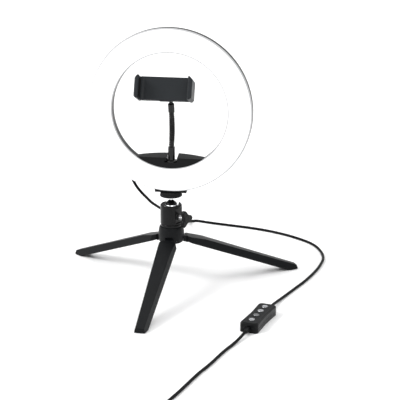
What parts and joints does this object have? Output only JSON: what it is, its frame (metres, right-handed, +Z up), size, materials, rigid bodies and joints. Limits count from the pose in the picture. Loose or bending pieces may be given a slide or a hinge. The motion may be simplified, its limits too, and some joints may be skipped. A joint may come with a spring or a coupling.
{
  "type": "ring light on a folding mini tripod",
  "caption": "Ring light with a phone clamp on a gooseneck, a ball head on a folding mini tripod, and a USB cord with an inline remote.",
  "frame": {"origin": "on the floor, at the middle of the bounding box of everything but the cord", "axes": "+Z up, -Y the way the ring shines, +X to the right as seen from the front"},
  "size_m": [0.3283, 0.6721, 0.3206],
  "materials": {
    "diffuser": "frosted white, lit",
    "black_plastic": "fine satin texture",
    "black_metal": "satin black coat",
    "slate_plastic": "fine satin texture",
    "leg_plastic": "fine satin texture",
    "rubber": "matte",
    "cord": "smooth jacket",
    "chrome": "polished",
    "steel": "zinc plated",
    "brass": "machined",
    "board": "white solder mask",
    "green_board": "green solder mask",
    "led_warm": "phosphor",
    "led_white": "phosphor",
    "nylon": "natural",
    "button_silver": "silver lacquer",
    "button_grey": "grey lacquer"
  },
  "bodies": {
    "base": {"tripod_hub": "leg_plastic", "leg_pins": "steel", "tripod_stud": "steel", "cord_floor": "cord", "cord_plug": "cord", "cord_coil": "cord", "cord_tail": "cord", "remote_top": "black_plastic", "remote_base": "black_plastic", "remote_board": "green_board", "remote_boots": "black_plastic", "usb_grip": "black_plastic", "usb_shell": "steel"},
    "head": {"head_body": "black_metal", "head_collar": "black_metal", "pressure_cup": "nylon", "cord_pan": "cord"},
    "knob": {"lock_knob": "black_plastic", "lock_screw": "chrome"},
    "ball": {"head_ball": "chrome", "cord_side": "cord"},
    "ring": {"ball_stem": "black_plastic", "platform": "black_metal", "platform_pad": "rubber", "platform_screw": "steel", "foot_insert": "brass", "rear_housing": "black_plastic", "front_diffuser": "diffuser", "led_board": "board", "leds_warm": "led_warm", "leds_white": "led_white", "housing_screws": "steel", "bridge_cover": "black_plastic", "neck_sleeve": "black_plastic", "neck_nut": "steel", "strain_relief": "black_plastic", "cord_ring": "cord"},
    "leg_front_body": {"leg_front": "leg_plastic", "foot_front": "rubber"},
    "leg_right_body": {"leg_right": "leg_plastic", "foot_right": "rubber"},
    "leg_left_body": {"leg_left": "leg_plastic", "foot_left": "rubber"},
    "neck_1": {"neck_link_1": "black_metal"},
    "neck_2": {"neck_link_2": "black_metal"},
    "neck_3": {"neck_link_3": "black_metal"},
    "neck_4": {"neck_link_4": "black_metal"},
    "neck_5": {"neck_link_5": "black_metal"},
    "neck_6": {"neck_link_6": "black_metal"},
    "neck_tip": {"neck_ball": "black_metal"},
    "liner": {"socket_liner": "black_plastic"},
    "clamp": {"clamp_body": "slate_plastic", "clamp_pad_right": "rubber"},
    "jaw": {"clamp_jaw": "slate_plastic", "clamp_pad_left": "rubber", "clamp_spring": "steel"},
    "cap_power": {"button_power": "button_silver"},
    "cap_mode": {"button_mode": "button_silver"},
    "cap_bright": {"button_bright": "button_grey"},
    "cap_dim": {"button_dim": "button_silver"}
  },
  "joints": [
    {"name": "head_pan", "type": "hinge", "parent": "base", "child": "head", "pos_m": [-0.002, 0.0374, 0.0782], "axis": [0, 0, 1], "range_deg": [-170, 170], "deforming": ["cord_floor"]},
    {"name": "lock_knob_turn", "type": "hinge", "parent": "head", "child": "knob", "pos_m": [-0.002, 0.0374, 0.0875], "axis": [0.8988, -0.4384, 0], "continuous": true},
    {"name": "ball_side", "type": "hinge", "parent": "head", "child": "ball", "pos_m": [-0.002, 0.0374, 0.0984], "axis": [0, 1, 0], "range_deg": [-8, 8], "deforming": ["cord_side"]},
    {"name": "ball_tilt", "type": "hinge", "parent": "ball", "child": "ring", "pos_m": [-0.002, 0.0374, 0.0984], "axis": [-1, 0, 0], "range_deg": [-12, 90], "deforming": ["cord_ring"]},
    {"name": "fold_leg_front", "type": "hinge", "parent": "base", "child": "leg_front_body", "pos_m": [-0.00229, 0.0264, 0.059], "axis": [0.9997, -0.0262, 0], "range_deg": [0, 69]},
    {"name": "fold_leg_right", "type": "hinge", "parent": "base", "child": "leg_right_body", "pos_m": [0.00767, 0.04265, 0.059], "axis": [-0.4772, 0.8788, 0], "range_deg": [0, 69]},
    {"name": "fold_leg_left", "type": "hinge", "parent": "base", "child": "leg_left_body", "pos_m": [-0.01138, 0.04315, 0.059], "axis": [-0.5225, -0.8526, 0], "range_deg": [0, 69]},
    {"name": "neck_bend_1", "type": "hinge", "parent": "ring", "child": "neck_1", "pos_m": [-0.001, 0.0369, 0.1764], "axis": [1, 0, 0], "range_deg": [-15, 15]},
    {"name": "neck_lean_1", "type": "hinge", "parent": "neck_1", "child": "neck_2", "pos_m": [-0.00024, 0.03563, 0.18426], "axis": [0, 1, 0], "range_deg": [-15, 15]},
    {"name": "neck_bend_2", "type": "hinge", "parent": "neck_2", "child": "neck_3", "pos_m": [0.00049, 0.03337, 0.1919], "axis": [1, 0, 0], "range_deg": [-15, 15]},
    {"name": "neck_lean_2", "type": "hinge", "parent": "neck_3", "child": "neck_4", "pos_m": [0.00113, 0.03057, 0.19937], "axis": [0, 1, 0], "range_deg": [-15, 15]},
    {"name": "neck_bend_3", "type": "hinge", "parent": "neck_4", "child": "neck_5", "pos_m": [0.00161, 0.02778, 0.20685], "axis": [1, 0, 0], "range_deg": [-15, 15]},
    {"name": "neck_lean_3", "type": "hinge", "parent": "neck_5", "child": "neck_6", "pos_m": [0.00185, 0.02551, 0.21452], "axis": [0, 1, 0], "range_deg": [-15, 15]},
    {"name": "clamp_swivel", "type": "hinge", "parent": "neck_6", "child": "neck_tip", "pos_m": [0.00153, 0.02159, 0.239], "axis": [-0.0126, -0.1584, 0.9873], "range_deg": [-60, 60]},
    {"name": "clamp_tilt", "type": "hinge", "parent": "neck_tip", "child": "liner", "pos_m": [0.00153, 0.02159, 0.239], "axis": [-1, 0, 0], "range_deg": [-40, 8]},
    {"name": "clamp_roll", "type": "hinge", "parent": "liner", "child": "clamp", "pos_m": [0.00153, 0.02159, 0.239], "axis": [0, 0.9272, -0.3746], "range_deg": [-20, 20]},
    {"name": "jaw_slide", "type": "slide", "parent": "clamp", "child": "jaw", "axis": [-1, 0, 0], "range_m": [0, 0.026], "stiffness_N_per_m": 150, "springref_m": -0.02, "deforming": ["clamp_spring"]},
    {"name": "press_power", "type": "slide", "parent": "base", "child": "cap_power", "axis": [0, 0, -1], "range_m": [0, 0.0006], "stiffness_N_per_m": 400, "springref_m": -0.001},
    {"name": "press_mode", "type": "slide", "parent": "base", "child": "cap_mode", "axis": [0, 0, -1], "range_m": [0, 0.0006], "stiffness_N_per_m": 400, "springref_m": -0.001},
    {"name": "press_bright", "type": "slide", "parent": "base", "child": "cap_bright", "axis": [0, 0, -1], "range_m": [0, 0.0006], "stiffness_N_per_m": 400, "springref_m": -0.001},
    {"name": "press_dim", "type": "slide", "parent": "base", "child": "cap_dim", "axis": [0, 0, -1], "range_m": [0, 0.0006], "stiffness_N_per_m": 400, "springref_m": -0.001}
  ],
  "couplings": [
    {"joint": "neck_bend_2", "follows": "neck_bend_1", "ratio": 1},
    {"joint": "neck_bend_3", "follows": "neck_bend_1", "ratio": 1},
    {"joint": "neck_lean_2", "follows": "neck_lean_1", "ratio": 1},
    {"joint": "neck_lean_3", "follows": "neck_lean_1", "ratio": 1}
  ]
}
